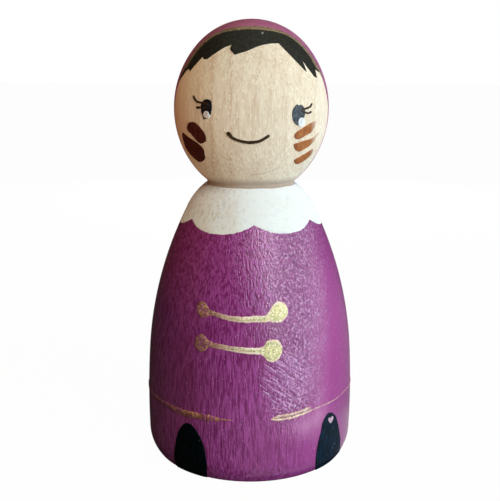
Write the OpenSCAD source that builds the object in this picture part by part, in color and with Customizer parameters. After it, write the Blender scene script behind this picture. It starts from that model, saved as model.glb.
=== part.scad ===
// A painted wooden peg doll. One blank is turned on a lathe: a round head, a
// narrow neck groove and a body that swells to a flat base. Everything else on
// it is paint: thin films that lie on the wood or on the coat of paint below.
// The origin is the centre of the base, +Z is up and the face looks along -Y.
// Left and right are those of someone who looks at the face.

/* [Turned blank] */
// Height of the whole doll, to the top of the paint on its crown
doll_h = 90; // [86:1:96]
// Diameter of the body at its widest, over its coat of paint
belly_d = 43.5; // [42:0.5:46]
// Radius of the long curve through the widest place
belly_curve_r = 180; // [150:5:220]
// Radius of the rounding of the foot
foot_curve_r = 7.2; // [6.5:0.1:9]
// Height of the broken edge under the foot
base_break = 0.3; // [0.2:0.1:0.6]
// How far the body stands out where the flank ends, from neck to belly
shoulder_out_share = 0.4235; // [0.39:0.0005:0.46]
// Radius of the shoulder, from there to the neck
shoulder_curve_r = 14.3; // [13:0.1:16]
// Diameter at the bottom of the neck groove
neck_d = 18; // [16:0.5:19]
// Height of the bare wood at the bottom of the neck groove
neck_gap = 0.7; // [0.5:0.1:1.2]
// Diameter of the head at its widest, over the paint of the hood
head_d = 31.4; // [30:0.1:32.5]
// Height of the head as a whole oval, over the paint of the hood
head_h = 35.3; // [34:0.1:37]
// Radius of the crown and the chin, as a share of an ellipse's at its tips
crown_share = 1.04; // [1:0.01:1.1]

/* [Heights on the body, as shares of the neck's height] */
// Where the rounding of the foot runs into the long curve
foot_share = 0.082; // [0.07:0.002:0.095]
// Where the body is widest
belly_share = 0.187; // [0.16:0.001:0.21]
// Where the flank starts to draw in
flank_share = 0.393; // [0.35:0.001:0.43]
// Where the flank ends
shoulder_share = 0.865; // [0.83:0.001:0.9]
// The lowest points of the collar's scallops
collar_share = 0.8535; // [0.82:0.0005:0.88]
// The middle of the upper braid
braid_upper_share = 0.5975; // [0.56:0.0005:0.64]
// The middle of the lower braid
braid_lower_share = 0.491; // [0.45:0.001:0.52]
// The hem line
hem_share = 0.2446; // [0.23:0.0002:0.26]

/* [Paint] */
// Thickness of the paint that lies on the wood
film_t = 0.16; // [0.12:0.01:0.25]
// Thickness of a detail painted over the coat or over an eye
detail_t = 0.12; // [0.08:0.01:0.2]

/* [Collar] */
// Depth of the scallops
scallop_h = 1.9; // [1.2:0.1:2.6]

/* [Hood] */
// Turn of the hood about the doll's axis, in degrees
hood_turn = 0.5; // [0:0.5:4]

/* [Face] */
// Width of the left eye, seen from the front
eye_left_w = 2.06; // [1.8:0.02:2.4]
// Height of the left eye
eye_left_h = 3.8; // [3.4:0.1:4.2]
// Width of the right eye, seen from the front
eye_right_w = 2.5; // [2.1:0.1:2.8]
// Height of the right eye
eye_right_h = 3.86; // [3.4:0.02:4.2]
// Width of the left glint
glint_left_w = 1.26; // [1:0.02:1.5]
// Height of the left glint
glint_left_h = 1.42; // [1.2:0.02:1.7]
// Width of the right glint
glint_right_w = 1.34; // [1:0.02:1.6]
// Height of the right glint
glint_right_h = 1.9; // [1.5:0.1:2.2]
// Width of a lash
lash_w = 0.4; // [0.3:0.05:0.55]
// Width of the line of the mouth
mouth_w = 0.56; // [0.4:0.02:0.7]
// Width of the dot that ends the mouth on the left
mouth_dot_d = 0.8; // [0.6:0.05:1]

/* [Braid across the coat] */
// Width of a braid at its middle
braid_w = 1.2; // [0.9:0.05:1.5]
// Height of the left knobs
knob_left_h = 3; // [2.6:0.1:3.6]
// Height of the right knobs
knob_right_h = 4.1; // [3.4:0.1:4.6]

/* [Hem] */
// Width of the hem line on the left
hem_left_w = 1.1; // [0.8:0.05:1.4]
// Width of the hem line on the right
hem_right_w = 0.7; // [0.4:0.05:1]
// Angle from the middle of the front to where the left hem line starts
hem_left_start = 12; // [8:1:20]
// Angle from the middle of the front to where the right hem line starts
hem_right_start = 11.5; // [8:0.5:20]
// Sideways tilt of the right hem line, in degrees
hem_right_tilt = 3; // [0:0.5:4]

/* [Boots] */
// Width of the left boot, seen from the front
boot_left_w = 6.8; // [6:0.1:7.6]
// Height of the left boot's toe mark, as a share of the hem's height
boot_left_share = 0.857; // [0.75:0.001:0.9]
// Width of the right boot, seen from the front
boot_right_w = 5.8; // [5:0.1:6.4]
// Height of the right boot's toe mark, as a share of the hem's height
boot_right_share = 0.907; // [0.8:0.001:0.93]
// Width of the pale fleck on the right boot
fleck_w = 1; // [0.8:0.05:1.3]
// Height of the fleck
fleck_h = 1.2; // [0.9:0.05:1.5]

/* [Hidden] */

// Facets of a circle in the profile, and of a turned solid
profile_fn = 720;
turned_fn = 180;

// How far each smaller arc is set out from the longer one that it runs into, so
// that the two cross at a slight angle, as on a sanded turning, and don't graze
set_out = 0.03;
// How far a cut runs past what it cuts, and a profile past its end
overrun = 1;
profile_overrun = 0.3;

// The way out of an arc at a height, and the arc's distance from the axis there
function normal_at(centre, radius, z) =
    let (rise = (z - centre.y) / radius) [sqrt(1 - rise * rise), rise];
function radius_at(centre, radius, z) = centre.x + radius * normal_at(centre, radius, z).x;
// The middle of a smaller arc that leaves a longer one at a height
function arc_inside(centre, radius, small_radius, z) =
    centre + (radius - small_radius + set_out) * normal_at(centre, radius, z);
// The radius of an arc that leaves a place along a normal and goes through a point
function radius_through(place, normal, point) =
    let (d = point - place) -(d * d) / (2 * d * normal);
// The outer place that lies at given distances from two others
function outer_place(a, a_distance, b, b_distance) =
    let (d = b - a, along = (d * d + a_distance ^ 2 - b_distance ^ 2) / (2 * norm(d)))
    a + (along * d + sqrt(a_distance ^ 2 - along ^ 2) * [d.y, -d.x]) / norm(d);

// The head is an oval of four arcs: a crown, a chin and two sides.
head_r = head_d / 2 - film_t;
head_b = head_h / 2 - film_t;
head_z = doll_h - head_h / 2;
crown_r = crown_share * head_r ^ 2 / head_b;
crown_in = crown_r - set_out;
side_r = (head_r ^ 2 + (head_b - crown_r) ^ 2 - crown_in ^ 2) / (2 * (head_r - crown_in));
crown_c = [0, head_b - crown_r];
side_c = [head_r - side_r, 0];
arcs_apart = norm(crown_c - side_c);

// The neck is the straight bottom of the groove, from the shoulder to the chin.
neck_r = neck_d / 2;
neck_top_z = head_z - crown_c.y - sqrt(crown_r ^ 2 - neck_r ^ 2);
neck_low_z = neck_top_z - neck_gap;

// The body is four arcs, from the foot over the belly and the flank to the neck.
belly_r = belly_d / 2 - film_t;
shoulder_r = neck_r + shoulder_out_share * (belly_r - neck_r);
foot_z = foot_share * neck_low_z;
flank_z = flank_share * neck_low_z;
shoulder_z = shoulder_share * neck_low_z;
belly_c = [belly_r - belly_curve_r, belly_share * neck_low_z];
foot_c = arc_inside(belly_c, belly_curve_r, foot_curve_r, foot_z);
base_r = radius_at(foot_c, foot_curve_r, 0);
flank_from = [radius_at(belly_c, belly_curve_r, flank_z), flank_z];
flank_curve_r = radius_through(flank_from, normal_at(belly_c, belly_curve_r, flank_z),
    [shoulder_r, shoulder_z]);
flank_c = arc_inside(belly_c, belly_curve_r, flank_curve_r, flank_z);
shoulder_c = outer_place(flank_c, flank_curve_r - shoulder_curve_r + set_out,
    [neck_r, neck_low_z], shoulder_curve_r);
turn_in_z = flank_c.y + (shoulder_c.y - flank_c.y) * flank_curve_r / norm(shoulder_c - flank_c);

collar_z = collar_share * neck_low_z;
braid_upper_z = braid_upper_share * neck_low_z;
braid_lower_z = braid_lower_share * neck_low_z;
hem_z = hem_share * neck_low_z;
boot_left_h = boot_left_share * hem_z;
boot_right_h = boot_right_share * hem_z;

// Six scallops, between angles from the middle of the front. They are painted
// by eye, so they differ a little.
scallop_angles = [-58, 3, 58, 119, 180, 241];
scallop_seat_r = radius_at(flank_c, flank_curve_r, collar_z);

// Outlines on the head are shares of its painted half width and half height,
// from the middle of the head, as seen from the front.
fringe_shares = [[-1.2, 0.1], [-1.02, 0.1], [-0.945, 0.235], [-0.87, 0.35], [-0.83, 0.395],
    [-0.77, 0.445], [-0.755, 0.415], [-0.725, 0.45], [-0.595, 0.575], [-0.575, 0.545],
    [-0.53, 0.55], [-0.43, 0.615], [-0.32, 0.675], [-0.24, 0.7], [-0.26, 0.66], [-0.25, 0.64],
    [-0.2, 0.595], [-0.055, 0.635], [0.06, 0.68], [0.23, 0.715], [0.32, 0.72], [0.4, 0.65],
    [0.535, 0.53], [0.635, 0.44], [0.67, 0.42], [0.62, 0.53], [0.685, 0.455], [0.765, 0.37],
    [0.805, 0.355], [0.78, 0.445], [0.835, 0.415], [0.9, 0.5], [1.2, 0.9], [1.2, 1.2],
    [-1.2, 1.2]];
// The hood's edges are seen from the side: towards the face, then up.
trim_front_shares = [[-0.53, 0.9], [-0.49, 0.858], [-0.455, 0.84], [-0.415, 0.815],
    [-0.385, 0.765], [-0.37, 0.68], [-0.365, 0.58], [-0.36, 0.48], [-0.3, 0.41], [-0.25, 0.33]];
trim_back_shares = [[-0.45, 0.96], [-0.425, 0.9], [-0.395, 0.88], [-0.365, 0.84], [-0.33, 0.785],
    [-0.305, 0.69], [-0.3, 0.585], [-0.29, 0.48], [-0.27, 0.4], [-0.25, 0.33]];
hood_low_shares = [[-0.24, 0.25], [-0.21, 0.16], [-0.18, 0.07], [-0.16, -0.02], [-0.13, -0.3],
    [-0.1, -0.6], [-0.05, -0.9]];
cheek_left_shares = [
    [[-0.785, -0.18], [-0.765, -0.13], [-0.725, -0.115], [-0.68, -0.12], [-0.615, -0.17],
        [-0.56, -0.23], [-0.545, -0.28], [-0.555, -0.32], [-0.615, -0.345], [-0.66, -0.315],
        [-0.715, -0.265], [-0.77, -0.215]],
    [[-0.855, -0.25], [-0.78, -0.285], [-0.705, -0.32], [-0.635, -0.355], [-0.585, -0.405],
        [-0.57, -0.455], [-0.57, -0.52], [-0.63, -0.565], [-0.69, -0.54], [-0.76, -0.485],
        [-0.815, -0.425], [-0.84, -0.355]]];
cheek_right_shares = [
    [[0.795, -0.105], [0.72, -0.12], [0.625, -0.165], [0.55, -0.205], [0.52, -0.24],
        [0.535, -0.28], [0.58, -0.285], [0.665, -0.25], [0.745, -0.205]],
    [[0.835, -0.235], [0.76, -0.285], [0.665, -0.305], [0.575, -0.325], [0.52, -0.34],
        [0.53, -0.39], [0.575, -0.425], [0.635, -0.41], [0.74, -0.355]],
    [[0.77, -0.415], [0.69, -0.45], [0.585, -0.495], [0.53, -0.525], [0.555, -0.57],
        [0.605, -0.565], [0.68, -0.53], [0.75, -0.48]]];
smile_shares = [[-0.27, -0.22], [-0.22, -0.265], [-0.13, -0.295], [-0.01, -0.31], [0.1, -0.295],
    [0.17, -0.26], [0.205, -0.24]];
lashes_left_shares = [
    [[-0.54, 0.09], [-0.6, 0.095], [-0.66, 0.11], [-0.697, 0.16]],
    [[-0.54, 0.05], [-0.6, 0.045], [-0.65, 0.043]]];
lashes_right_shares = [
    [[0.59, 0.03], [0.643, 0.037], [0.704, 0.054], [0.725, 0.08]],
    [[0.59, 0.01], [0.643, -0.001], [0.69, -0.011], [0.718, 0.002]]];
eye_left_place_shares = [-0.534, 0.038];
eye_right_place_shares = [0.567, -0.022];
glint_left_place_shares = [-0.532, -0.025];
glint_right_place_shares = [0.6, -0.104];

// Outlines of the eyes and boots are shares of their own half width and half
// height.
eye_left_shares = [[-0.12, 0.9], [0.76, 0.76], [0.97, 0.29], [0.91, -0.29], [0.46, -0.78],
    [-0.46, -1.06], [-0.68, -0.74], [-1, -0.18], [-1, 0.39], [-0.65, 0.74]];
eye_right_shares = [[-0.68, 0.75], [-0.35, 0.99], [0.05, 0.85], [0.37, 0.96], [0.82, 0.65],
    [0.98, 0.17], [0.85, -0.37], [0.37, -0.9], [-0.27, -1.02], [-0.76, -0.71], [-0.98, -0.22],
    [-0.98, 0.36]];
boot_left_shares = [[-0.85, -1.2], [-1, -0.35], [-0.82, 0.4], [-0.5, 0.82], [-0.2, 0.98],
    [0.15, 0.93], [0.5, 0.7], [0.75, 0.42], [0.93, 0], [1, -0.35], [0.98, -1.2]];
boot_right_shares = [[-0.95, -1.2], [-1, -0.3], [-0.88, 0.1], [-0.68, 0.48], [-0.5, 0.84],
    [-0.1, 0.99], [0.35, 0.72], [0.62, 0.3], [0.85, -0.2], [0.96, -0.6], [0.9, -1.2]];
fleck_shares = [[0, 0.55], [0.3, 0.95], [0.75, 0.95], [1, 0.45], [0.75, -0.2], [0, -1],
    [-0.75, -0.2], [-1, 0.45], [-0.75, 0.95], [-0.3, 0.95]];
// Places on the body are shares of its widest half width.
boot_left_place_share = -0.538;
boot_right_place_share = 0.747;
fleck_place_share = 0.754;
// A braid: place along it, as a share of the body's half width, then rise, as a
// share of the braid's width. Its half height follows, as a share of the height
// of the left knob, of the braid's width and of the height of the right knob.
braid_upper_left_shares = [[-0.465, 0.68, 0.1], [-0.452, 0.68, 0.32], [-0.425, 0.66, 0.47],
    [-0.397, 0.6, 0.4], [-0.375, 0.48, 0.22]];
braid_upper_line_shares = [[-0.345, 0.3, 0.42], [-0.28, 0.05, 0.38], [-0.19, -0.25, 0.4],
    [-0.07, -0.4, 0.46], [0.05, -0.3, 0.52], [0.13, -0.28, 0.56]];
braid_upper_right_shares = [[0.167, 0.05, 0.22], [0.19, 0.35, 0.36], [0.22, 0.6, 0.45],
    [0.252, 0.66, 0.48], [0.285, 0.66, 0.43], [0.315, 0.62, 0.3], [0.334, 0.6, 0.1]];
braid_lower_left_shares = [[-0.476, 0.35, 0.12], [-0.46, 0.4, 0.38], [-0.43, 0.42, 0.53],
    [-0.402, 0.45, 0.44], [-0.377, 0.45, 0.24]];
braid_lower_line_shares = [[-0.345, 0.45, 0.42], [-0.25, 0.2, 0.4], [-0.13, 0, 0.44],
    [-0.01, -0.2, 0.5], [0.08, -0.24, 0.54]];
braid_lower_right_shares = [[0.123, -0.25, 0.24], [0.145, -0.25, 0.42], [0.175, -0.28, 0.52],
    [0.206, -0.28, 0.53], [0.24, -0.25, 0.47], [0.268, -0.2, 0.32], [0.285, -0.15, 0.1]];

// A smooth line through hand-chosen points, and the same line closed
function curve_point(a, b, c, d, t) =
    (2 * b + (c - a) * t + (2 * a - 5 * b + 4 * c - d) * t ^ 2 + (3 * b - a - 3 * c + d) * t ^ 3) / 2;
function closed_curve(points, steps = 2) =
    let (n = len(points))
    [for (i = [0:n - 1], s = [0:steps - 1])
        curve_point(points[(i + n - 1) % n], points[i], points[(i + 1) % n],
            points[(i + 2) % n], s / steps)];
function open_curve(points, steps = 3) =
    let (n = len(points))
    concat([for (i = [0:n - 2], s = [0:steps - 1])
        curve_point(points[max(i - 1, 0)], points[i], points[i + 1],
            points[min(i + 2, n - 1)], s / steps)], [points[n - 1]]);

// The outline of a brush line with round ends: its points hold a place and a
// half width
function turned_left(v) = [-v.y, v.x] / norm(v);
function brush_edge(points, side) =
    let (n = len(points))
    [for (i = [0:n - 1])
        let (a = points[max(i - 1, 0)], b = points[min(i + 1, n - 1)], p = points[i])
        [p.x, p.y] + side * p.z * turned_left([b.x - a.x, b.y - a.y])];
round_end_angles = [60, 30, 0, -30, -60];
function brush_end(end, before) =
    let (out = atan2(end.y - before.y, end.x - before.x))
    [for (t = round_end_angles) [end.x, end.y] + end.z * [cos(out + t), sin(out + t)]];
function reversed(list) = [for (i = [len(list) - 1:-1:0]) list[i]];
function brush_line(points) =
    let (line = open_curve(points), last = len(line) - 1)
    concat(brush_edge(line, 1), brush_end(line[last], line[last - 1]),
        reversed(brush_edge(line, -1)), brush_end(line[0], line[1]));

// The outline of a band that lies across: place, height and half height
function band(points) =
    let (line = open_curve(points))
    concat([for (p = line) [p.x, p.y + p.z]], reversed([for (p = line) [p.x, p.y - p.z]]));

function on_head(shares) = [for (s = shares) [s.x * head_d, s.y * head_h] / 2];
function on_spot(spot, w, h, shares) = [for (s = shares) spot + [s.x * w, s.y * h] / 2];
function oval(spot, w, h) = [for (t = [0:20:340]) spot + [w * cos(t), h * sin(t)] / 2];
function with_half_width(points, half) = [for (p = points) [p.x, p.y, half]];

// What a tighter arc takes off the corner of a profile, between two heights
module corner(centre, radius, low, high, from = 0) {
    difference() {
        translate([from, low]) square([belly_d + head_d, high - low]);
        translate(centre) circle(radius, $fn = profile_fn);
    }
}

module body_section(grow = 0) {
    difference() {
        intersection() {
            translate(belly_c) circle(belly_curve_r + grow, $fn = profile_fn);
            square([belly_d, neck_low_z + profile_overrun]);
        }
        corner(foot_c, foot_curve_r + grow, -overrun, foot_z, foot_c.x);
        corner(flank_c, flank_curve_r + grow, flank_z, neck_low_z + overrun);
        corner(shoulder_c, shoulder_curve_r + grow, turn_in_z, neck_low_z + overrun,
            max(shoulder_c.x, 0));
        polygon([[base_r - base_break, 0],
            [radius_at(foot_c, foot_curve_r, base_break), base_break],
            [belly_d, base_break], [belly_d, -overrun], [base_r - base_break, -overrun]]);
    }
}

// The tighter arcs of the head's oval are cut from the longer ones: on a tall
// head those of the crown and the chin, and on a wide one those of the sides.
module head_section(grow = 0) {
    translate([0, head_z])
        intersection() {
            translate([0, -head_h]) square([head_d, 2 * head_h]);
            if (crown_r < side_r)
                difference() {
                    crown_from = side_r * crown_c.y / arcs_apart;
                    translate(side_c) circle(side_r + grow, $fn = profile_fn);
                    corner(crown_c, crown_r + grow, crown_from, head_h);
                    corner(-crown_c, crown_r + grow, -head_h, -crown_from);
                }
            else
                difference() {
                    intersection_for(side = [1, -1])
                        translate(side * crown_c) circle(crown_r + grow, $fn = profile_fn);
                    corner(side_c, side_r + grow, -head_h, head_h,
                        crown_r * side_c.x / arcs_apart);
                }
        }
}

// A film that wraps the body or the head all round, from one height above the
// wood to another. The head's is turned, so that its seam lies at the back.
module body_film(low, high) {
    rotate_extrude($fn = turned_fn)
        intersection() {
            difference() {
                body_section(high);
                body_section(low);
            }
            square([belly_d, neck_low_z]);
        }
}
module head_film(low, high) {
    rotate([0, 0, 90]) rotate_extrude($fn = turned_fn)
        intersection() {
            difference() {
                head_section(high);
                head_section(low);
            }
            translate([0, neck_top_z]) square([head_d, doll_h]);
        }
}

// What lies behind a drawing seen from the front, as far back as the axis
module seen_from_front(z = 0) {
    translate([0, 0, z]) rotate([90, 0, 0]) linear_extrude(belly_d) children();
}
// What lies beside a drawing seen from the right: towards the back, then up
module seen_from_side() {
    rotate([0, 0, hood_turn]) translate([-head_d, 0, head_z]) rotate([90, 0, 90])
        linear_extrude(2 * head_d) children();
}
module painted_on_head(low = 0, high = film_t) {
    intersection() {
        head_film(low, high);
        seen_from_front(head_z) children();
    }
}
module painted_on_coat(low = film_t, high = film_t + detail_t) {
    intersection() {
        body_film(low, high);
        seen_from_front() children();
    }
}

// The neck groove's bottom is straight; the head and body meet it as arcs.
module turned_blank() {
    color([0.82, 0.75, 0.62])
        rotate_extrude($fn = turned_fn) {
            body_section();
            translate([0, shoulder_z]) square([neck_r, head_z - shoulder_z]);
            head_section();
        }
}

module scallops() {
    count = len(scallop_angles);
    for (i = [0:count - 1]) {
        start = scallop_angles[i];
        end = i < count - 1 ? scallop_angles[i + 1] : scallop_angles[0] + 360;
        half_chord = scallop_seat_r * sin((end - start) / 2);
        disc_r = (half_chord ^ 2 + scallop_h ^ 2) / (2 * scallop_h);
        rotate([0, 0, (start + end) / 2])
            translate([0, -neck_r / 2, collar_z + disc_r]) rotate([90, 0, 0])
                cylinder(h = belly_d, r = disc_r, $fn = turned_fn);
    }
}
module coat() {
    color([0.46, 0.2, 0.4])
        difference() {
            body_film(0, film_t);
            scallops();
        }
}
module collar() {
    color([0.93, 0.94, 0.93])
        intersection() {
            body_film(0, film_t);
            scallops();
        }
}

// Hood, trim and hair share one edge each, so none lies over another. The hood
// goes more than half way round, so it is cut as two halves and joined.
module hood() {
    color([0.58, 0.3, 0.47])
        for (side = [0, 1])
            intersection() {
                head_film(0, film_t);
                seen_from_side() polygon(concat(on_head(trim_back_shares),
                    on_head(hood_low_shares), [[head_d, -head_b], [head_d, head_h]]));
                mirror([side, 0, 0]) translate([0, -head_d, 0])
                    cube([head_d, 2 * head_d, 2 * doll_h]);
            }
}
module hood_trim() {
    color([0.5, 0.42, 0.33])
        intersection() {
            head_film(0, film_t);
            seen_from_side()
                polygon(concat(on_head(trim_front_shares), reversed(on_head(trim_back_shares))));
        }
}
module hair() {
    color([0.15, 0.15, 0.16])
        intersection() {
            painted_on_head() polygon(on_head(fringe_shares));
            seen_from_side() polygon(concat(on_head(trim_front_shares), on_head(hood_low_shares),
                [[-head_d, -head_b], [-head_d, head_h]]));
        }
}

module eye_left_outline() {
    spot = on_head([eye_left_place_shares])[0];
    polygon(closed_curve(on_spot(spot, eye_left_w, eye_left_h, eye_left_shares)));
}
module eye_right_outline() {
    spot = on_head([eye_right_place_shares])[0];
    polygon(closed_curve(on_spot(spot, eye_right_w, eye_right_h, eye_right_shares)));
}
module eye_left() {
    color([0.06, 0.06, 0.08]) painted_on_head() eye_left_outline();
}
module eye_right() {
    color([0.25, 0.27, 0.3]) painted_on_head() eye_right_outline();
}
// A glint lies on its eye, and on the wood where it runs past the eye.
module glint(place_shares, w, h) {
    spot = on_head([place_shares])[0];
    color([0.93, 0.95, 0.96])
        difference() {
            painted_on_head(0, film_t + detail_t) polygon(oval(spot, w, h));
            painted_on_head(-film_t, film_t) children();
        }
}
module glint_left() {
    glint(glint_left_place_shares, glint_left_w, glint_left_h) eye_left_outline();
}
module glint_right() {
    glint(glint_right_place_shares, glint_right_w, glint_right_h) eye_right_outline();
}
module lashes(shares) {
    color([0.1, 0.09, 0.08])
        painted_on_head() difference() {
            for (lash = shares)
                polygon(brush_line(with_half_width(on_head(lash), lash_w / 2)));
            children();
        }
}
module lashes_left() {
    lashes(lashes_left_shares) eye_left_outline();
}
module lashes_right() {
    lashes(lashes_right_shares) eye_right_outline();
}
module smile() {
    places = on_head(smile_shares);
    line = [for (i = [0:len(places) - 1])
        [places[i].x, places[i].y, (i == 0 ? mouth_dot_d : mouth_w) / 2]];
    color([0.14, 0.1, 0.08]) painted_on_head() polygon(brush_line(line));
}
module cheek_strokes_left() {
    color([0.24, 0.1, 0.07])
        for (stroke = cheek_left_shares)
            painted_on_head() polygon(closed_curve(on_head(stroke)));
}
module cheek_strokes_right() {
    color([0.7, 0.45, 0.28])
        for (stroke = cheek_right_shares)
            painted_on_head() polygon(closed_curve(on_head(stroke)));
}

module braid(z, left_shares, line_shares, right_shares) {
    places = concat([for (s = left_shares) [s.x, s.y, s.z * knob_left_h]],
        [for (s = line_shares) [s.x, s.y, s.z * braid_w]],
        [for (s = right_shares) [s.x, s.y, s.z * knob_right_h]]);
    color([0.72, 0.6, 0.3])
        painted_on_coat()
            polygon(band([for (p = places) [p.x * belly_d / 2, z + p.y * braid_w, p.z]]));
}
module braid_upper() {
    braid(braid_upper_z, braid_upper_left_shares, braid_upper_line_shares,
        braid_upper_right_shares);
}
module braid_lower() {
    braid(braid_lower_z, braid_lower_left_shares, braid_lower_line_shares,
        braid_lower_right_shares);
}

// The hem lines start beside the middle of the front and meet at the back.
module hem_left() {
    color([0.6, 0.45, 0.22])
        intersection() {
            body_film(film_t, film_t + detail_t);
            translate([-belly_d, -belly_d, hem_z - hem_left_w / 2])
                cube([belly_d, 2 * belly_d, hem_left_w]);
            rotate([0, 0, -hem_left_start]) translate([-belly_d, -belly_d, 0])
                cube([belly_d, 2 * belly_d, doll_h]);
        }
}
module hem_right() {
    color([0.8, 0.66, 0.5])
        intersection() {
            body_film(film_t, film_t + detail_t);
            translate([0, 0, hem_z]) rotate([0, -hem_right_tilt, 0])
                translate([-belly_d, -belly_d, -hem_right_w / 2])
                    cube([2 * belly_d, 2 * belly_d, hem_right_w]);
            translate([0, -belly_d, 0]) cube([belly_d, 2 * belly_d, doll_h]);
            rotate([0, 0, hem_right_start]) translate([0, -belly_d, 0])
                cube([belly_d, 2 * belly_d, doll_h]);
        }
}

module boot(place_share, w, h, shares) {
    painted_on_coat()
        polygon(closed_curve(on_spot([place_share * belly_d, h] / 2, w, h, shares)));
}
module boot_left() {
    color([0.03, 0.04, 0.05]) boot(boot_left_place_share, boot_left_w, boot_left_h, boot_left_shares);
}
module boot_right() {
    color([0.09, 0.15, 0.23])
        boot(boot_right_place_share, boot_right_w, boot_right_h, boot_right_shares);
}
module boot_fleck() {
    spot = [fleck_place_share * belly_d / 2, boot_right_h - 1.35 * fleck_h];
    color([0.9, 0.75, 0.75])
        painted_on_coat(film_t + detail_t, film_t + 2 * detail_t)
            polygon(closed_curve(on_spot(spot, fleck_w, fleck_h, fleck_shares)));
}

turned_blank();
coat();
collar();
hood();
hood_trim();
hair();
eye_left();
eye_right();
glint_left();
glint_right();
lashes_left();
lashes_right();
smile();
cheek_strokes_left();
cheek_strokes_right();
braid_upper();
braid_lower();
hem_left();
hem_right();
boot_left();
boot_right();
boot_fleck();
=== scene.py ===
import bisect
import math

import bpy
from mathutils import Matrix, Vector, noise


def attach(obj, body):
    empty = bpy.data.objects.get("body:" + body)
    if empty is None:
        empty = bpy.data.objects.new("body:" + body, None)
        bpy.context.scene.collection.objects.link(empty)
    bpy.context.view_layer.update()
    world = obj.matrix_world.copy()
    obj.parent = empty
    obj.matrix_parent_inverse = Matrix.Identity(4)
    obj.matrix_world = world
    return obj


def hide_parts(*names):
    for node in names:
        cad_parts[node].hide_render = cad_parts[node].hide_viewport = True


# The frame and the camera
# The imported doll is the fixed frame. The camera stands close in front of the
# doll, a little above its chin, and leans by a third of a degree.
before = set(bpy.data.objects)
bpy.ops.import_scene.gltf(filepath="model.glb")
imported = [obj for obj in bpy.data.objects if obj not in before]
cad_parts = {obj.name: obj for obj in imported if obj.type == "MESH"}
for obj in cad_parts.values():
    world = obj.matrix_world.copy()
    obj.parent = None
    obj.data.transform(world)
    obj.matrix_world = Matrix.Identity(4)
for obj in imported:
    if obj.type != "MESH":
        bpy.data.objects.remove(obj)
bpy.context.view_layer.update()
scene = bpy.context.scene

camera_data = bpy.data.cameras.new("camera")
camera_data.sensor_width = 36
camera_data.lens = 61.08
camera_data.shift_x = -0.0009
camera_data.shift_y = 0.001
camera_data.clip_start = 0.01
camera = bpy.data.objects.new("camera", camera_data)
scene.collection.objects.link(camera)
camera.location = (0, -0.1745, 0.0817)
camera_down, camera_lean = math.radians(12.58), 0.00631
camera.rotation_euler = (
    Matrix.Rotation(math.pi / 2 - camera_down, 3, "X") @ Matrix.Rotation(camera_lean, 3, "Z")
).to_euler()
scene.camera = camera

# The blank
# One piece of beech, turned on a lathe: a round head, a groove for the neck and
# a body that swells to a flat base. It is sanded and has a thin satin varnish.
mm = 0.001
belly_r, belly_z, belly_arc = 21.59, 10.72, 180
foot_z, foot_arc = 4.70, 7.2
flank_z, flank_arc = 22.53, 76.72
turn_in_z, shoulder_arc, shoulder_mid = 52.56, 14.3, (0.223, 46.041)
neck_r, neck_low_z, neck_top_z = 9, 57.33, 58.03
head_z, head_r, head_half_h, crown_arc = 72.35, 15.54, 17.49, 14.36
base_break = 0.3
facets = 256
smooth_under = math.radians(35)


def arc_mid(mid, arc, smaller, z):
    """The middle of a smaller arc that leaves a longer one at a height."""
    rise = (z - mid[1]) / arc
    return (
        mid[0] + (arc - smaller) * math.sqrt(1 - rise * rise),
        mid[1] + (arc - smaller) * rise,
    )


def arc_out(mid, arc, z):
    """How far an arc stands from the axis at a height."""
    return mid[0] + math.sqrt(max(arc * arc - (z - mid[1]) ** 2, 0))


belly_mid = (belly_r - belly_arc, belly_z)
foot_mid = arc_mid(belly_mid, belly_arc, foot_arc, foot_z)
flank_mid = arc_mid(belly_mid, belly_arc, flank_arc, flank_z)
side_arc = (head_r**2 + (head_half_h - crown_arc) ** 2 - crown_arc**2) / (2 * (head_r - crown_arc))
side_mid = (head_r - side_arc, 0)
crown_mid = (0, head_half_h - crown_arc)
crown_from = side_arc * crown_mid[1] / math.hypot(side_mid[0], crown_mid[1])


def wood_r(z):
    """The radius of the turned wood at a height, in millimetres."""
    if z > neck_top_z:
        up = z - head_z
        if abs(up) > crown_from:
            mid = crown_mid if up > 0 else (0, -crown_mid[1])
            return arc_out(mid, crown_arc, up)
        return arc_out(side_mid, side_arc, up)
    if z > neck_low_z:
        return neck_r
    if z > turn_in_z:
        return max(arc_out(shoulder_mid, shoulder_arc, z), neck_r)
    if z > flank_z:
        return arc_out(flank_mid, flank_arc, z)
    if z > foot_z:
        return arc_out(belly_mid, belly_arc, z)
    return arc_out(foot_mid, foot_arc, z)


def alone(thing):
    """Leaves one object selected and active."""
    bpy.ops.object.select_all(action="DESELECT")
    thing.select_set(True)
    bpy.context.view_layer.objects.active = thing


def turned(name, cuts):
    """A turning: a ring at the first cut, drawn up and in through the others."""
    bpy.ops.object.select_all(action="DESELECT")
    bpy.ops.mesh.primitive_circle_add(
        vertices=facets, radius=cuts[0][0] * mm, fill_type="NGON", location=(0, 0, cuts[0][1] * mm)
    )
    piece = bpy.context.object
    piece.name = piece.data.name = name
    bpy.ops.object.transform_apply(location=True)
    bpy.ops.object.mode_set(mode="EDIT")
    bpy.ops.mesh.select_mode(type="EDGE")
    bpy.ops.mesh.select_all(action="SELECT")
    for (r_was, z_was), (r, z) in zip(cuts, cuts[1:]):
        bpy.ops.mesh.extrude_edges_move(
            MESH_OT_extrude_edges_indiv={}, TRANSFORM_OT_translate={"value": (0, 0, (z - z_was) * mm)}
        )
        bpy.ops.transform.resize(value=(r / r_was, r / r_was, 1))
    bpy.ops.mesh.merge(type="CENTER")
    bpy.ops.mesh.select_all(action="SELECT")
    bpy.ops.mesh.normals_make_consistent(inside=False)
    bpy.ops.object.mode_set(mode="OBJECT")
    return piece


def spaced(low, high, count):
    """Values from low to high, with count equal steps between them."""
    return [low + (high - low) * i / count for i in range(count + 1)]


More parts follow.
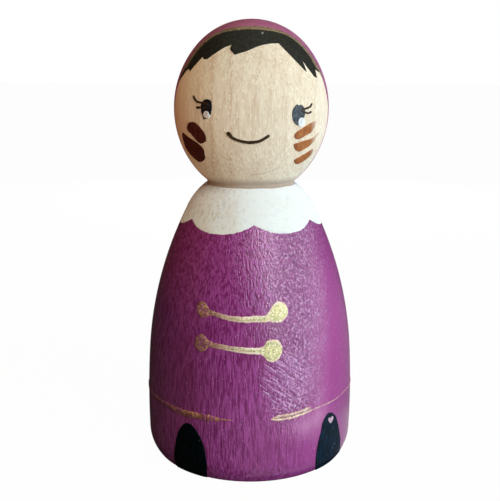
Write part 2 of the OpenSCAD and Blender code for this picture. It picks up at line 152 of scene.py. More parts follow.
body_heights = spaced(base_break, foot_z, 14) + spaced(foot_z, neck_low_z, 84)[1:]
body_cuts = [(wood_r(z), z) for z in body_heights]
chin_turn, crown_turn = math.acos((head_z - neck_top_z) / head_half_h), math.pi - 0.02
head_heights = [head_z - head_half_h * math.cos(turn) for turn in spaced(chin_turn, crown_turn, 90)]
head_cuts = [(wood_r(z), z) for z in head_heights]
base_cut = (wood_r(0) - base_break, 0)
neck_cut = (neck_r, (neck_low_z + neck_top_z) / 2)
blank = turned("blank", [base_cut] + body_cuts + [neck_cut] + head_cuts)
alone(blank)
bpy.ops.object.shade_smooth_by_angle(angle=smooth_under)


def seen(red, green, blue):
    """A colour as it looks, from 0 to 255, for a shader."""
    parts = [v / 255 for v in (red, green, blue)]
    return tuple(v / 12.92 if v <= 0.04045 else ((v + 0.055) / 1.055) ** 2.4 for v in parts) + (1,)


class Tone:
    """A socket of a finish. Sums on it add Math nodes, and node() adds any other."""

    def __init__(self, tree, socket=None):
        self.tree, self.socket = tree, socket

    def node(self, kind, settings=None, sockets=None, out=0):
        """Adds a node: first its settings, then its sockets' values or links."""
        made = self.tree.nodes.new("ShaderNode" + kind)
        for key, value in (settings or {}).items():
            setattr(made, key, value)
        for key, value in (sockets or {}).items():
            if isinstance(value, Tone):
                self.tree.links.new(value.socket, made.inputs[key])
            else:
                made.inputs[key].default_value = value
        return Tone(self.tree, made.outputs[out])

    def sum(self, operation, a, b):
        return self.node("Math", {"operation": operation}, {0: a, 1: b})

    def __add__(self, other):
        return self.sum("ADD", self, other)

    __radd__ = __add__

    def __mul__(self, other):
        return self.sum("MULTIPLY", self, other)

    __rmul__ = __mul__

    def __sub__(self, other):
        return self.sum("SUBTRACT", self, other)

    def __rsub__(self, other):
        return self.sum("SUBTRACT", other, self)

    def __truediv__(self, other):
        return self.sum("DIVIDE", self, other)

    def __pow__(self, other):
        return self.sum("POWER", self, other)

    def between(self, low, high):
        """0 below low, 1 above high, and smooth between them."""
        return self.node(
            "MapRange",
            {"interpolation_type": "SMOOTHSTEP"},
            {"Value": self, "From Min": low, "From Max": high},
        )

    def near(self, place, reach):
        """1 at a place, and smoothly 0 from reach on either side of it."""
        gap = self.node("Math", {"operation": "ABSOLUTE"}, {0: self - place})
        return gap.between(reach, 0)

    def mix(self, a, b):
        """Colour a where this is 0 and colour b where it is 1."""
        return self.node("Mix", {"data_type": "RGBA"}, {0: self, 6: a, 7: b}, out=2)

    def vector(self, operation, other=(0, 0, 0), out=0):
        """Vector maths on a place. A length or a distance comes from output 1."""
        return self.node("VectorMath", {"operation": operation}, {0: self, 1: other}, out)

    def axis(self, which):
        """One distance of a place: 0 across to the right, and 2 up."""
        return self.node("SeparateXYZ", {}, {0: self}, out=which)

    def moved(self, scale, turn=(0, 0, 0), by=(0, 0, 0)):
        """A place after a Mapping node, for stretching or turning a pattern."""
        sockets = {"Vector": self, "Scale": scale, "Rotation": turn, "Location": by}
        return self.node("Mapping", {}, sockets)

    def cloud(self, detail=2.0, rough=0.5):
        """Soft patches, about a millimetre wide where the place isn't stretched."""
        sockets = {"Vector": self, "Scale": 1.0, "Detail": detail, "Roughness": rough}
        return self.node("TexNoise", {}, sockets)

    def cells(self):
        """How far the nearest of some scattered spots is."""
        return self.node("TexVoronoi", {}, {"Vector": self, "Scale": 1.0})


def finish(name, gloss, chalk=0.0):
    """A new material, and the place in millimetres that its patterns read."""
    material = bpy.data.materials.new(name)
    material.use_nodes = True
    shader = material.node_tree.nodes["Principled BSDF"]
    shader.inputs["Specular IOR Level"].default_value = gloss
    shader.inputs["Diffuse Roughness"].default_value = chalk
    here = Tone(material.node_tree).node("TexCoord", out="Object")
    return material, here.vector("MULTIPLY", (1 / mm, 1 / mm, 1 / mm))


def apply_finish(material, colour, rough, relief, deep, metal=0.0):
    """Joins a finish's patterns to its shader. The relief is deep millimetres."""
    shader = material.node_tree.nodes["Principled BSDF"]
    links = material.node_tree.links
    for key, value in (("Base Color", colour), ("Roughness", rough), ("Metallic", metal)):
        if isinstance(value, Tone):
            links.new(value.socket, shader.inputs[key])
        else:
            shader.inputs[key].default_value = value
    bump = relief.node("Bump", {}, {"Height": relief, "Distance": deep * mm, "Strength": 1.0})
    links.new(bump.socket, shader.inputs["Normal"])


def coated(piece, material):
    """Gives a piece one finish all over."""
    piece.data.materials.clear()
    piece.data.materials.append(material)
    return piece


def wear(piece, material, slot, *nodes):
    """Gives a piece its finish, if it has none, and says which solid it stands for.

    The solid keeps the plain name, so a piece that shares it is called its paint.
    """
    if material:
        coated(piece, material)
    if "." in piece.name:
        piece.name = piece.data.name = nodes[0] + "_paint"
    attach(piece, "root")
    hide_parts(*nodes)


def beech(here):
    """The colour and relief of bare beech, with its rings, fibres and ray flecks."""
    across = here.axis(0)
    height = here.axis(2)
    bend = here.moved((0.03, 0.03, 0.012)).cloud(2)
    from_pith = here.vector("ADD", (74, -13, 0)).vector("MULTIPLY", (1, 1, 0.03))
    ring = (from_pith.vector("LENGTH", out=1) + bend * 9) / 2.6
    ring = ring.node("Math", {"operation": "FRACT"}, {0: ring}) ** 2.2
    fibre = here.moved((2.6, 2.6, 0.14)).cloud(4, 0.62)
    broad = here.moved((0.3, 0.3, 0.012)).cloud(2)
    tint = ring * 0.25 + fibre.between(0.38, 0.7) * 0.6
    colour = tint.mix(seen(245, 236, 222), seen(218, 200, 176))
    colour = (broad.between(0.5, 0.75) * 0.4).mix(colour, seen(220, 199, 178))
    streak = across.near(-7.4, 0.5) + across.near(-3.8, 0.6)
    colour = (streak * fibre.between(0.3, 0.6) * 0.5).mix(colour, seen(212, 182, 156))
    ray = here.moved((1.7, 1.7, 0.75), by=(3, 1, 7)).cells().between(0.34, 0.14)
    colour = (ray * 0.8).mix(colour, seen(254, 248, 232))
    pore = here.moved((2.3, 2.3, 0.55), by=(9, 4, 2)).cells().between(0.2, 0.06)
    colour = (pore * 0.65).mix(colour, seen(172, 138, 112))
    # Painted warm shade: the wood's left side is tinted a warmer tan.
    colour = (across.between(-7, -15.5) * 0.55).mix(colour, seen(226, 190, 146))
    # A short fine line under the chin, darker and a little sunken, and painted shade in the neck
    # groove, partly dust.
    chin_line = (height - across * across * 0.05).near(60.35, 0.12)
    chin_line = chin_line * across.between(-1, 0.5) * across.between(6.2, 5)
    colour = (chin_line * 0.55).mix(colour, seen(158, 134, 112))
    # Painted shade, partly dust: the wood darkens in the neck groove.
    groove_dust_and_shade = height.between(59.8, 58) * height.between(56, 57)
    colour = (groove_dust_and_shade * 0.7).mix(colour, seen(172, 152, 138))
    relief = fibre * 0.6 + ray * 0.3 - pore * 0.5 - chin_line * 0.5
    return colour, relief


beech_finish, here = finish("beech", gloss=0.2, chalk=1.0)
beech_colour, beech_relief = beech(here)
beech_rough = 0.55 + here.moved((2, 2, 0.2)).cloud() * 0.1
apply_finish(beech_finish, beech_colour, beech_rough, beech_relief, 0.03)
wear(blank, beech_finish, "beech", "turned_blank")

# The coat
# Plum acrylic, brushed up and down from the foot to the collar, all round. The wet paint raised the
# grain, and the satin film glitters where it faces light. Painted glints and painted shade in the
# grain add to this where the light falls.
# How thick the paint is, how deep it soaks in, and how it thins out at an edge.
film, soak = 0.16, 0.02
thin_edge, thin_share = 0.3, 0.3
merge_under = 0.002
paint_smooth_under = math.radians(50)
cuts_round = 288
scallop_low, scallop_rise = 48.9, 1.9
coat_over_edge = 0.25
cusps = [-58, 3, 58, 119, 180, 241]
scallop_lift = [-0.1, 0.12, 0.0, 0.05, -0.1, 0.1]
# The seed keeps the waver of the brush the same each time.
noise.seed_set(11)


def drift(along, row, deep=0):
    """A slow wander between -1 and 1. Each row gives another one."""
    return noise.noise(Vector((along, row, deep)))


def scallop_edge(turn):
    """The height of the collar's painted edge, by the angle from the front."""
    turn = (turn - cusps[0]) % 360 + cusps[0]
    for i, start in enumerate(cusps):
        end = cusps[i + 1] if i < 5 else cusps[0] + 360
        if turn <= end:
            share = abs(2 * (turn - start) / (end - start) - 1)
            lift = scallop_lift[i] * (1 - share)
            wander = drift(turn * 0.35, 3) * 0.13 + drift(turn * 0.9, 8) * 0.06
            return scallop_low + lift + scallop_rise * share**2.3 + wander
    return scallop_low + scallop_rise


def round_at(r, turn, z):
    """The place at a radius, an angle from the front and a height, in metres."""
    return math.sin(turn) * r * mm, -math.cos(turn) * r * mm, z * mm


def skin(name, start, end, across, rows, edges, seat, rise, soft=thin_edge):
    """Paint that goes round: a grid, wrapped on seat(z) between two edges.

    edges(turn) gives its lower and upper height. Its outer side stands rise
    above the seat and thins out over soft millimetres at its edges.
    """
    bpy.ops.object.select_all(action="DESELECT")
    bpy.ops.mesh.primitive_grid_add(x_subdivisions=across, y_subdivisions=rows, size=1)
    piece = bpy.context.object
    piece.name = piece.data.name = name
    whole = abs(end - start) >= 360
    rim = []
    for corner in piece.data.vertices:
        along, up = corner.co.x + 0.5, corner.co.y + 0.5
        turn = start + (end - start) * along
        low, high = edges(turn)
        near = min(soft / max(high - low, soft * 2.01), 0.49)
        row = round(up * rows)
        if row == 0:
            height = low
        elif row == rows:
            height = high
        elif row == rows - 1:
            height = high - (high - low) * near
        else:
            height = low + (high - low) * (near + (1 - 2 * near) * (row - 1) / (rows - 2))
        if row in (0, rows) or (not whole and along in (0, 1)):
            rim.append(corner.index)
        corner.co = round_at(seat(height) - soak, math.radians(turn), height)
    return thickened(piece, rise + soak, rim, whole)


def thickened(piece, rise, rim, whole=False):
    """Turns a skin into a thin solid film that thins out at its rim."""
    alone(piece)
    group = piece.vertex_groups.new(name="film")
    group.add(list(range(len(piece.data.vertices))), 1, "REPLACE")
    group.add(rim, 0, "REPLACE")
    bpy.ops.object.mode_set(mode="EDIT")
    bpy.ops.mesh.select_all(action="SELECT")
    if whole:
        bpy.ops.mesh.remove_doubles(threshold=merge_under * mm)
    bpy.ops.object.mode_set(mode="OBJECT")
    out = sum(face.normal.xy.dot(face.center.xy) * face.area for face in piece.data.polygons)
    if out < 0:
        bpy.ops.object.mode_set(mode="EDIT")
        bpy.ops.mesh.flip_normals()
        bpy.ops.object.mode_set(mode="OBJECT")
    solid = piece.modifiers.new("film", "SOLIDIFY")
    solid.thickness = rise * mm
    solid.offset = 1
    solid.vertex_group = "film"
    solid.thickness_vertex_group = thin_share
    bpy.ops.object.modifier_apply(modifier="film")
    bpy.ops.object.shade_smooth_by_angle(angle=paint_smooth_under)
    return piece


def coat_edges(turn):
    """The coat runs from the base to just under the collar."""
    return base_break, scallop_edge(turn) + coat_over_edge


coat = skin("coat", -180, 180, cuts_round, 110, coat_edges, wood_r, film)


def plum(here):
    """The colour, roughness and relief of the brushed plum paint."""
    across = here.axis(0)
    height = here.axis(2)
    foot = height.between(17, 11)
    ridge = here.moved((2.7, 2.7, 0.3)).cloud(3, 0.6).between(0.36, 0.64)
    hairs = here.moved((4.4, 4.4, 1.1), by=(5, 2, 1)).cloud(3, 0.6).between(0.34, 0.66)
    pebble = here.moved((2.3, 2.3, 1.9)).cloud(3, 0.55)
    pebble = (pebble - 0.5) * 2.4 + 0.5
    patch = here.moved((0.09, 0.09, 0.05)).cloud(2)
    aslant = here.moved((1, 1, 1), turn=(0, 0, -0.35)).moved((1, 1, 1), turn=(0, 0.95, 0))
    aslant = aslant.moved((1.3, 1.3, 0.2)).cloud(2, 0.5).between(0.36, 0.64)
    there = here.vector("DISTANCE", (7, -20, 21.5), out=1).between(7, 4)
    fleck = here.moved((1.9, 1.9, 0.7), by=(2, 6, 3)).cells().between(0.2, 0.08)
    pebbled = across.between(1, 7) * (1 - foot)
    smooth = (across + foot * 4 + patch * 3).between(10.5, 19)
    grain = ridge.node("Mix", {}, {0: pebbled, 2: ridge, 3: pebble})
    colour = (0.5 + (grain - 0.5) * (1 - smooth * 0.8)).mix(seen(122, 35, 105), seen(172, 77, 162))
    colour = (patch.between(0.4, 0.7) * 0.4).mix(colour, seen(136, 46, 114))
    # Painted glints and painted shade: where the highlight falls, the grain's tips are pale lilac and
    # its hollows dark plum.
    glint_and_shade_zone = pebbled * (1 - smooth)
    colour = (smooth * (0.7 - foot * 0.45)).mix(colour, seen(176, 62, 154))
    colour = (glint_and_shade_zone * pebble.between(0.52, 0.9) * 0.75).mix(colour, seen(212, 168, 212))
    colour = (glint_and_shade_zone * pebble.between(0.42, 0.08) * 0.65).mix(colour, seen(80, 20, 84))
    # Painted glints: small pale pink flecks, which are also raised a little.
    colour = (fleck * 0.45).mix(colour, seen(206, 146, 198))
    # Painted highlight: the diagonal brush ridges on the right front are also a paler lilac.
    colour = (there * aslant * 0.35).mix(colour, seen(176, 110, 176))
    rough = 0.17 + hairs * 0.08
    relief = ridge * (0.34 - pebbled * 0.2 - foot * 0.1) + pebble * pebbled * (1.5 - there * 0.9)
    relief = relief + hairs * (0.14 - pebbled * 0.05 + foot * 0.12) + there * aslant * 0.8
    relief = relief * (1 - smooth * 0.7) + fleck * 0.25
    return colour, rough, relief


coat_finish, here = finish("plum_paint", gloss=1.0)
plum_colour, plum_rough, plum_relief = plum(here)
apply_finish(coat_finish, plum_colour, plum_rough, plum_relief, 0.13)
wear(coat, coat_finish, "plum_paint", "coat")

# The collar
# Two thin coats of white acrylic from the scallops up to the neck groove. The grain of the wood shows
# through them as grey streaks, and grey is painted stronger towards the left as painted shade.
collar_rise = film + 0.03
collar_top = neck_low_z - 0.1


def collar_edges(turn):
    """The collar runs from the scallops to the groove of the neck."""
    return scallop_edge(turn), collar_top + 0.12 * drift(turn * 0.05, 1)


collar = skin("collar", -180, 180, cuts_round, 30, collar_edges, wood_r, collar_rise)


def white_over(here, under):
    """Thin white paint over the wood: its colour and relief."""
    across = here.axis(0)
    streak = here.moved((1.7, 1.7, 0.1)).cloud(4, 0.68)
    soft = here.moved((0.25, 0.25, 0.12)).cloud(3)
    # Painted shade: towards the left the grey streaks, a warm grey and the wood under them show more.
    thin = 1 - across.between(-5, 1.5) * 0.8
    colour = (streak.between(0.49, 0.7) * thin * 0.8).mix(seen(241, 246, 248), seen(203, 199, 193))
    colour = (soft.between(0.45, 0.75) * (0.1 + thin * 0.3)).mix(colour, seen(222, 212, 200))
    colour = (streak.between(0.6, 0.8) * thin * 0.25).mix(colour, under)
    mauve = here.moved((0.5, 0.5, 1.2), by=(6, 1, 0)).cloud(3)
    colour = (mauve.between(0.55, 0.75) * 0.5).mix(colour, seen(222, 224, 242))
    return colour, streak


collar_finish, here = finish("white_paint", gloss=0.2, chalk=1.0)
collar_colour, collar_relief = white_over(here, beech(here)[0])
apply_finish(collar_finish, collar_colour, 0.5, collar_relief, 0.05)
wear(collar, collar_finish, "white_paint", "collar")

# The hood
# The same plum paint over the crown and the back of the head, down to the neck.
# Its edge comes down in front of where the ears would be.
head_w, head_h = 15.7, 17.65
hood_thick, hood_under_trim = 0.11, 0.25
cutter_half = 20
trim_front = [(-0.53, 0.9), (-0.49, 0.858), (-0.455, 0.84), (-0.415, 0.815), (-0.385, 0.765)]
trim_front += [(-0.37, 0.68), (-0.365, 0.58), (-0.36, 0.48), (-0.3, 0.41), (-0.25, 0.33)]
trim_back = [(-0.45, 0.96), (-0.425, 0.9), (-0.395, 0.88), (-0.365, 0.84), (-0.33, 0.785)]
trim_back += [(-0.305, 0.69), (-0.3, 0.585), (-0.29, 0.48), (-0.27, 0.4), (-0.25, 0.33)]
hood_low = [(-0.24, 0.25), (-0.21, 0.16), (-0.165, 0.07), (-0.13, -0.02), (-0.095, -0.3)]
hood_low += [(-0.06, -0.6), (-0.02, -0.9)]


def passing(t, a, b, c, d):
    """The value at a share of the way from b to c, in a row of four."""
    bend = (2 * a - 5 * b + 4 * c - d) * t**2
    return (2 * b + (c - a) * t + bend + (3 * b - a - 3 * c + d) * t**3) / 2


def curve(points, steps, closed=False):
    """A smooth line through given points, with any number of parts each."""
    made = []
    line = [points[-1], *points, *points[:2]] if closed else [points[0], *points, points[-1]]
    for near in zip(line, line[1:], line[2:], line[3:]):
        for step in range(steps):
            made.append(tuple(passing(step / steps, *row) for row in zip(*near)))
    return made if closed else made + [tuple(points[-1])]


def side_outline(points):
    """Shares of the head, seen from the side, as places behind and above."""
    return [(y * head_w, head_z + z * head_h) for y, z in points]


def drop_faces(piece, goes):
    """Deletes those faces of a piece for which goes(face) is true."""
    alone(piece)
    bpy.ops.object.mode_set(mode="EDIT")
    bpy.ops.mesh.select_mode(type="FACE")
    bpy.ops.mesh.select_all(action="DESELECT")
    bpy.ops.object.mode_set(mode="OBJECT")
    for face in piece.data.polygons:
        face.select = goes(face)
    bpy.ops.object.mode_set(mode="EDIT")
    bpy.ops.mesh.delete(type="FACE")
    bpy.ops.object.mode_set(mode="OBJECT")


hood = turned("hood", head_cuts)
bpy.ops.object.select_all(action="DESELECT")
edge = side_outline(curve(trim_back, 4)[:-1] + curve(hood_low, 3))
edge = [(y - hood_under_trim, z) for y, z in edge]
edge += [(2 * head_w, head_z - head_h), (2 * head_w, head_z + 2 * head_h)]
bpy.ops.mesh.primitive_circle_add(vertices=len(edge), radius=1, fill_type="NGON")
cutter = bpy.context.object
for corner, (y, z) in zip(cutter.data.vertices, edge):
    corner.co = (-cutter_half * mm, y * mm, z * mm)
bpy.ops.object.mode_set(mode="EDIT")
bpy.ops.mesh.select_all(action="SELECT")
bpy.ops.mesh.extrude_region_move(TRANSFORM_OT_translate={"value": (2 * cutter_half * mm, 0, 0)})
bpy.ops.mesh.select_all(action="SELECT")
bpy.ops.mesh.normals_make_consistent(inside=False)
bpy.ops.object.mode_set(mode="OBJECT")
# Only the skin of the head is painted, so the disc at the neck goes first.
drop_faces(hood, lambda face: len(face.vertices) > 4)
shell = hood.modifiers.new("film", "SOLIDIFY")
shell.thickness = hood_thick * mm
shell.offset = 0.8
bpy.ops.object.modifier_apply(modifier="film")
cut = hood.modifiers.new("edge", "BOOLEAN")
cut.operation = "INTERSECT"
cut.solver = "EXACT"
cut.object = cutter
bpy.ops.object.modifier_apply(modifier="edge")
bpy.data.objects.remove(cutter)
bpy.ops.object.shade_smooth_by_angle(angle=smooth_under)

hood_finish, here = finish("hood_paint", gloss=0.2)
hood_colour, _, hood_relief = plum(here)
drawn = here.moved((0.6, 0.6, 0.1)).cloud(4, 0.6)
# Painted light: the hood's plum is mixed towards a paler pink than the coat's.
hood_colour = (0.6 + drawn.between(0.3, 0.7) * 0.4).mix(hood_colour, seen(190, 114, 154))
apply_finish(hood_finish, hood_colour, 0.4 + drawn * 0.1, hood_relief, 0.04)
wear(hood, hood_finish, "hood_paint", "hood")

# The trim and the fringe
# A dull gold line along the hood's edge, then the black fringe below it, in
# flat acrylic that ends in brushed tips.


def half_squared(y, z):
    """The square of half the head's width at a place, or below 0 outside it."""
    return wood_r(z) ** 2 - y * y


def to_front(points):
    """A line on the head that is given from the side, as seen from the front."""
    made, line = [], side_outline(points)
    for before, (y, z) in zip([line[0]] + line, line):
        if half_squared(y, z) > 0:
            if not made:
                out, on = before, (y, z)
                for _ in range(20):
                    half_way = ((out[0] + on[0]) / 2, (out[1] + on[1]) / 2)
                    if half_squared(*half_way) > 0:
                        on = half_way
                    else:
                        out = half_way
                made.append((0, on[1]))
            made.append((math.sqrt(half_squared(y, z)), z))
    return made


# How far the surface runs upwards from the foot, by height, for laying paint on.
run_heights = spaced(0, head_z + head_half_h - 0.001, 6000)
runs = [0]
for z_was, z in zip(run_heights, run_heights[1:]):
    runs.append(runs[-1] + math.hypot(z - z_was, wood_r(z) - wood_r(z_was)))


def matched(value, known, wanted):
    """Reads a value's partner in a table that rises."""
    i = min(max(bisect.bisect_right(known, value), 1), len(known) - 1)
    share = (value - known[i - 1]) / (known[i] - known[i - 1])
    return wanted[i - 1] + (wanted[i] - wanted[i - 1]) * share


sliver = 0.01


def dab(name, outline, seat, rise, inset=0.08, step=0.4, sunk=soak):
    """A dab of paint: an outline seen from the front, laid on seat(z).

    Its outer side stands rise above the seat, and thins out over the inset. It
    is cut every step millimetres, so that it bends with the wood.
    """
    bpy.ops.object.select_all(action="DESELECT")
    bpy.ops.mesh.primitive_circle_add(vertices=len(outline), radius=1, fill_type="NOTHING")
    piece = bpy.context.object
    piece.name = piece.data.name = name
    wide = seat(sum(z for x, z in outline) / len(outline))
    turns = [math.asin(min(max(x / seat(z), -1), 1)) for x, z in outline]
    flat = [(turn * wide, matched(z, run_heights, runs)) for turn, (x, z) in zip(turns, outline)]
    for corner, (x, up) in zip(piece.data.vertices, flat):
        corner.co = (x * mm, 0, up * mm)
    bpy.ops.object.mode_set(mode="EDIT")
    bpy.ops.mesh.select_mode(type="VERT")
    bpy.ops.mesh.select_all(action="SELECT")
    bpy.ops.mesh.edge_face_add()
    bpy.ops.mesh.select_all(action="SELECT")
    if inset:
        bpy.ops.mesh.inset(thickness=inset * mm, use_even_offset=False)
        bpy.ops.mesh.select_all(action="SELECT")
    bpy.ops.mesh.quads_convert_to_tris(quad_method="FIXED", ngon_method="CLIP")
    spans = [(min(p[k] for p in flat), max(p[k] for p in flat)) for k in (0, 1)]
    for (low, high), way in zip(spans, ((1, 0, 0), (0, 0, 1))):
        for i in range(1, int((high - low) / step) + 1):
            place = low + i * step
            if place < high - sliver:
                bpy.ops.mesh.select_all(action="SELECT")
                at = [place * mm * w for w in way]
                bpy.ops.mesh.bisect(plane_co=at, plane_no=way, threshold=1e-7)
    bpy.ops.mesh.select_all(action="SELECT")
    bpy.ops.mesh.remove_doubles(threshold=merge_under * mm)
    bpy.ops.mesh.select_all(action="DESELECT")
    bpy.ops.mesh.select_non_manifold()
    bpy.ops.object.mode_set(mode="OBJECT")
    rim = [corner.index for corner in piece.data.vertices if corner.select]
    for corner in piece.data.vertices:
        turn, z = corner.co.x / mm / wide, matched(corner.co.z / mm, runs, run_heights)
        corner.co = round_at(seat(z) - sunk, turn, z)
    return thickened(piece, rise + sunk, rim)


def hand(outline, wander, seed, fine=1.3):
    """The small waver of a brush along an outline."""
    made = []
    for x, z in outline:
        shift = noise.noise_vector(Vector((x * fine, z * fine, seed)))
        made.append((x + shift.x * wander, z + shift.y * wander))
    return made


front_edge = to_front(curve(trim_front, 6))
back_edge = to_front(curve(trim_back, 6))
# The two lines meet in the middle of the crown, at the same distance across.
trim_outline = [(-x, z) for x, z in reversed(front_edge)] + front_edge[1:-1]
trim_outline += list(reversed(back_edge)) + [(-x, z) for x, z in back_edge[1:-1]]
trim_rise, hair_rise = 0.14, 0.08
trim = dab("trim", hand(trim_outline, 0.06, 4), wood_r, trim_rise, inset=0)


def worn_gold(here, under, gold, deep_gold, pale, dark, cover):
    """Metallic paint, laid thin: its colour, roughness, metal and relief.

    The lower the cover, the more of the colour under it shows.
    """
    dry = here.moved((2.2, 2.2, 2.6)).cloud(4, 0.7)
    grain = here.moved((1.9, 1.9, 1.9), by=(4, 0, 2)).cloud(2, 0.6)
    tone = here.moved((0.6, 0.6, 0.6), by=(4, 0, 2)).cloud(2)
    flake = here.moved((1.5, 1.5, 1.5)).cells().between(0.4, 0.2)
    pit = here.moved((1.7, 1.7, 1.7), by=(7, 3, 1)).cells().between(0.34, 0.16)
    colour = (grain.between(0.42, 0.58) * 0.6 + tone.between(0.4, 0.65) * 0.4).mix(gold, deep_gold)
    colour = (flake * 0.75).mix(colour, pale)
    colour = (pit * 0.7).mix(colour, dark)
    bare = dry.between(cover, cover + 0.12)
    colour = (bare * 0.85).mix(colour, under)
    metal = (1 - bare) * 0.25
    return colour, 0.45 + dry * 0.2, metal, dry + flake * 0.3 - pit * 0.3


trim_finish, here = finish("old_gold_paint", gloss=0.2)
trim_golds = [seen(158, 138, 112), seen(126, 106, 84), seen(178, 158, 130), seen(98, 80, 66)]
colour, rough, metal, relief = worn_gold(here, plum(here)[0], *trim_golds, 0.6)
apply_finish(trim_finish, colour, rough, relief, 0.04, metal)
wear(trim, trim_finish, "old_gold_paint", "hood_trim")

fringe = [(-0.995, 0.14), (-0.945, 0.235), (-0.905, 0.3), (-0.87, 0.35), (-0.83, 0.395)]
fringe += [(-0.8, 0.425), (-0.77, 0.445), (-0.755, 0.415), (-0.725, 0.45), (-0.66, 0.51)]
fringe += [(-0.595, 0.575), (-0.575, 0.545), (-0.53, 0.55), (-0.48, 0.585), (-0.43, 0.615)]
fringe += [(-0.32, 0.675), (-0.24, 0.7), (-0.26, 0.66), (-0.25, 0.64), (-0.2, 0.595)]
fringe += [(-0.055, 0.635), (0.06, 0.68), (0.14, 0.7), (0.23, 0.715), (0.32, 0.72), (0.4, 0.65)]
fringe += [(0.535, 0.53), (0.635, 0.44), (0.67, 0.42), (0.62, 0.53), (0.685, 0.455)]
fringe += [(0.765, 0.37), (0.805, 0.355), (0.78, 0.445), (0.835, 0.415), (0.87, 0.43)]


def on_head(points):
    """Shares of the head, seen from the front, as places across and up."""
    return [(x * head_w, head_z + z * head_h) + tuple(rest) for x, z, *rest in points]


side_line = side_outline(curve(trim_front, 6)[:-1] + curve(hood_low, 4))
side_ups = [z for y, z in reversed(side_line)]
side_backs = [y for y, z in reversed(side_line)]
tucked = 0.05


def under_hood(x, z):
    """Stops a line of hair just under the edge of the hood."""
    reach = math.sqrt(wood_r(z) ** 2 - matched(z, side_ups, side_backs) ** 2) + tucked
    return min(max(x, -reach), reach), z


hair_outline = [under_hood(x, z) for x, z in hand(on_head(fringe), 0.05, 2, 2.2)]
hair_outline += [(x, z + tucked) for x, z in reversed(front_edge)]
hair_outline += [(-x, z + tucked) for x, z in front_edge[1:]]
hair = dab("hair", hair_outline, wood_r, hair_rise, inset=0)

hair_finish, here = finish("hair_paint", gloss=0.12)
strand = here.moved((2.2, 2.2, 0.5), turn=(0, 0.5, 0)).cloud(4, 0.6)
hair_colour = strand.between(0.3, 0.8).mix(seen(34, 34, 31), seen(54, 55, 49))
thin = here.moved((3.2, 3.2, 0.9), by=(1, 8, 2)).cloud(3).between(0.66, 0.8)
hair_colour = (thin * 0.2).mix(hair_colour, seen(110, 98, 84))
# A small pale grey speck on the hair.
dot = here.axis(0).near(2.02, 0.32) * here.axis(2).near(86.95, 0.3)
hair_colour = (dot * 1.5).mix(hair_colour, seen(140, 146, 140))
apply_finish(hair_finish, hair_colour, 0.5 + strand * 0.15, strand, 0.05)
wear(hair, hair_finish, "hair_paint", "hair")

# The eyes
# Two dark ovals with a white dab low in each, and two lashes at the outer side,
# all with a small brush and ink-like acrylic.
eye_left_shape = [(-0.12, 0.9), (0.76, 0.76), (0.97, 0.29), (0.91, -0.29), (0.46, -0.78)]
eye_left_shape += [(-0.46, -1.06), (-0.68, -0.74), (-1, -0.18), (-1, 0.39), (-0.65, 0.74)]
eye_right_shape = [(-0.68, 0.75), (-0.35, 0.99), (0.05, 0.85), (0.37, 0.96), (0.82, 0.65)]
eye_right_shape += [(0.98, 0.17), (0.85, -0.37), (0.37, -0.9), (-0.27, -1.02), (-0.76, -0.71)]
eye_right_shape += [(-0.98, -0.22), (-0.98, 0.36)]


def on_spot(spot, wide, tall, shape):
    """A shape of a width and a height, with its middle on a spot of the head."""
    (x, z), *_ = on_head([spot])
    return [(x + sx * wide / 2, z + sz * tall / 2) for sx, sz in shape]


eye_finish, here = finish("black_paint", gloss=0.2)
bristle = here.moved((4, 4, 1.4)).cloud(3)
on_right = here.axis(0).between(-1, 1)
eye_colour = bristle.between(0.35, 0.75).mix(seen(16, 17, 22), seen(40, 42, 50))
# Painted sheen: the right eye is a paler grey-blue than the left.
eye_painted_sheen = bristle.between(0.35, 0.7).mix(seen(42, 49, 58), seen(78, 88, 97))
eye_colour = on_right.mix(eye_colour, eye_painted_sheen)
apply_finish(eye_finish, eye_colour, 0.3 + bristle * 0.2, bristle, 0.04)
for name, spot, wide, tall, shape, seed in (
    ("eye_left", (-0.534, 0.038), 2.06, 3.8, eye_left_shape, 5),
    ("eye_right", (0.567, -0.022), 2.5, 3.86, eye_right_shape, 7),
):
    outline = curve(on_spot(spot, wide, tall, shape), 4, True)
    wear(dab(name, hand(outline, 0.12, seed, 2), wood_r, film), eye_finish, "black_paint", name)

ring = [(math.cos(math.radians(t)), math.sin(math.radians(t))) for t in range(0, 360, 15)]
glint_finish, here = finish("glint_paint", gloss=0.5)
milky = here.moved((3, 3, 1.2)).cloud(3)
glint_colour = milky.between(0.45, 0.7).mix(seen(240, 244, 250), seen(192, 200, 214))
apply_finish(glint_finish, glint_colour, 0.35, milky, 0.05)
glint_rise = film + 0.1
for name, spot, wide, tall, seed in (
    ("glint_left", (-0.532, -0.025), 1.26, 1.42, 5),
    ("glint_right", (0.6, -0.104), 1.34, 1.9, 9),
):
    glint = dab(name, hand(on_spot(spot, wide, tall, ring), 0.09, seed), wood_r, glint_rise, 0.1, 0.3)
    wear(glint, glint_finish, "white_paint", name)


def stroke(points):
    """The outline of a brush stroke: points hold a place and a half width."""
    line = curve(points, 4)
    sides, ends = ([], []), []
    for i, (x, z, half) in enumerate(line):
        before, after = line[max(i - 1, 0)], line[min(i + 1, len(line) - 1)]
        way = math.atan2(after[1] - before[1], after[0] - before[0])
        for side, sign in zip(sides, (1, -1)):
            side.append((x - sign * half * math.sin(way), z + sign * half * math.cos(way)))
        if i in (0, len(line) - 1):
            out = way if i else way + math.pi
            bearings = [out + math.radians(t) for t in (60, 30, 0, -30, -60)]
            ends.append([(x + half * math.cos(b), z + half * math.sin(b)) for b in bearings])
    return sides[0] + ends[1] + list(reversed(sides[1])) + ends[0]


